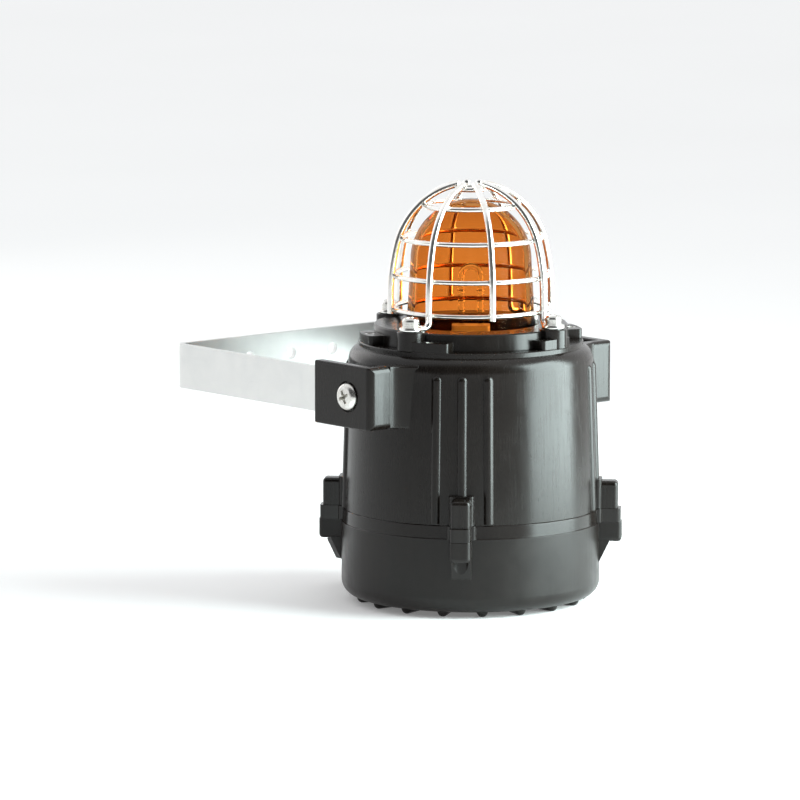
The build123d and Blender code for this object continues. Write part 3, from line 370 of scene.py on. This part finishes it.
def guard_wire_ends():
    """Tumbled, rounded ends of the wires round the crown."""
    shape = bmesh.new()
    z = CROWN_CENTRE_Z + sqrt(CROWN_R ** 2 - WIRE_END_R ** 2)
    rise = on_wire(z)[1]
    for angle in WIRE_ANGLES:
        turn = Matrix.Rotation(angle, 4, "Z") @ Matrix.Rotation(-rise, 4, "Y")
        place = Matrix.Translation((WIRE_END_R * cos(angle), WIRE_END_R * sin(angle), z))
        bmesh.ops.create_icosphere(shape, subdivisions=4, radius=1.0,
                                   matrix=place @ turn @ Matrix.Diagonal((*CAP_SIZE, 1.0)))
    finished("guard_wire_ends", shape, HOUSING, MATERIALS["bright_stainless"])


def thread_ridge(name, radius, depth, pitch, length, place, slot_name, steps=48):
    """Helical ridge of an inner thread along +Z from the origin, set in place by a matrix."""
    shape = bmesh.new()
    rows = []
    for index in range(int(length / pitch * steps) + 1):
        angle = 2 * pi * index / steps
        fade = min(1.0, index / steps, (int(length / pitch * steps) - index) / steps)
        level = pitch * index / steps
        crest = radius - depth * fade
        profile = ((radius + 0.02 * MM, -0.42 * pitch), (crest, -0.09 * pitch), (crest, 0.09 * pitch),
                   (radius + 0.02 * MM, 0.42 * pitch))
        rows.append([shape.verts.new((r * cos(angle), r * sin(angle), level + dz)) for r, dz in profile])
    for low, high in zip(rows, rows[1:]):
        for k in range(4):
            shape.faces.new((low[k], high[k], high[(k + 1) % 4], low[(k + 1) % 4]))
    for end in (rows[0], rows[-1][::-1]):
        shape.faces.new(end)
    bmesh.ops.recalc_face_normals(shape, faces=shape.faces)
    bmesh.ops.transform(shape, matrix=place, verts=shape.verts)
    finished(name, shape, HOUSING, MATERIALS[slot_name], smooth=False)


def entry_thread():
    """Thread in the open cable entry, behind its mouth."""
    entry = next(m for m in frame["record"]["mounts"] if m["name"] == "cable_entry")
    x, y, z = entry["pos_m"]
    place = Matrix.Translation((x, y - THREAD_START, z)) @ Matrix.Rotation(-pi / 2, 4, "X")
    thread_ridge("entry_thread", entry["dims"]["r_mm"] * MM, THREAD_DEPTH, THREAD_PITCH, THREAD_LENGTH, place,
                 "cover_moulding")


# ---- Stage, light and camera ----------------------------------------------------------------
def floor_disc():
    mesh = bpy.data.meshes.new("floor")
    shape = bmesh.new()
    bmesh.ops.create_circle(shape, cap_ends=True, radius=FLOOR_RADIUS, segments=96)
    bmesh.ops.translate(shape, verts=shape.verts, vec=(0, 0, cad_box[0][2] - FLOOR_DROP))
    shape.to_mesh(mesh)
    shape.free()
    floor = bpy.data.objects.new("floor", mesh)
    bpy.context.collection.objects.link(floor)
    mesh.materials.append(pale_floor("floor"))


def soft_box(name, turn, distance, width, low, high, radiance, colour):
    """Upright area light that faces the object, turned from the camera's side by degrees to the right."""
    light = bpy.data.lights.new(name, "AREA")
    light.shape = "RECTANGLE"
    light.size, light.size_y = width, high - low
    light.energy = radiance * pi * width * (high - low)
    light.color = colour
    lamp = bpy.data.objects.new(name, light)
    bpy.context.collection.objects.link(lamp)
    heading = -pi / 2 - CAMERA_TURN + radians(turn)
    lamp.location = (distance * cos(heading), distance * sin(heading), (low + high) / 2)
    lamp.rotation_euler = (pi / 2, 0, heading + pi / 2)
    return lamp


def keep_light_off(lamp, node):
    """Keeps one light off a node, as a flag held between them would."""
    group = bpy.data.collections.new(lamp.name + "_" + node)
    group.objects.link(frame["nodes"][node])
    group.collection_objects[0].light_linking.link_state = "EXCLUDE"
    lamp.light_linking.receiver_collection = group


def light_the_stage():
    world = bpy.data.worlds.new("studio")
    bpy.context.scene.world = world
    world.use_nodes = True
    tree = world.node_tree
    towards = tree.nodes.new("ShaderNodeTexCoord").outputs["Generated"]
    front = tree.nodes.new("ShaderNodeVectorMath")
    front.operation = "DOT_PRODUCT"
    front.inputs[1].default_value = DARK_SIDE
    tree.links.new(towards, front.inputs[0])
    level = tree.nodes.new("ShaderNodeMapRange")
    for key, value in (("From Min", DARK_EDGE), ("From Max", DARK_CORE),
                       ("To Min", BRIGHT_LEVEL), ("To Max", DARK_LEVEL)):
        level.inputs[key].default_value = value
    tree.links.new(front.outputs["Value"], level.inputs["Value"])
    background = tree.nodes["Background"]
    background.inputs["Color"].default_value = (0.97, 0.985, 1.0, 1.0)
    tree.links.new(level.outputs["Result"], background.inputs["Strength"])
    key = soft_box("key", turn=78, distance=0.62, width=0.56, low=0.005, high=0.75, radiance=16.0,
                   colour=(0.85, 1.0, 0.99))
    soft_box("fill", turn=-140, distance=1.6, width=1.0, low=0.01, high=1.2, radiance=0.8,
             colour=(1.0, 0.96, 0.93))
    keep_light_off(key, BRACKET)


def place_camera():
    camera = bpy.data.objects.new("camera", bpy.data.cameras.new("camera"))
    bpy.context.collection.objects.link(camera)
    camera.data.lens = LENS_MM
    camera.data.sensor_width = SENSOR_MM
    camera.data.clip_end = 100
    camera.location = (-CAMERA_DISTANCE * sin(CAMERA_TURN), -CAMERA_DISTANCE * cos(CAMERA_TURN),
                       CAMERA_HEIGHT)
    camera.rotation_euler = (pi / 2 - CAMERA_PITCH, 0, CAMERA_PAN - CAMERA_TURN)
    bpy.context.scene.camera = camera


dress_nodes()
guard_welds()
guard_wire_ends()
entry_thread()
floor_disc()
light_the_stage()
place_camera()
bpy.context.scene.view_settings.view_transform = "Standard"
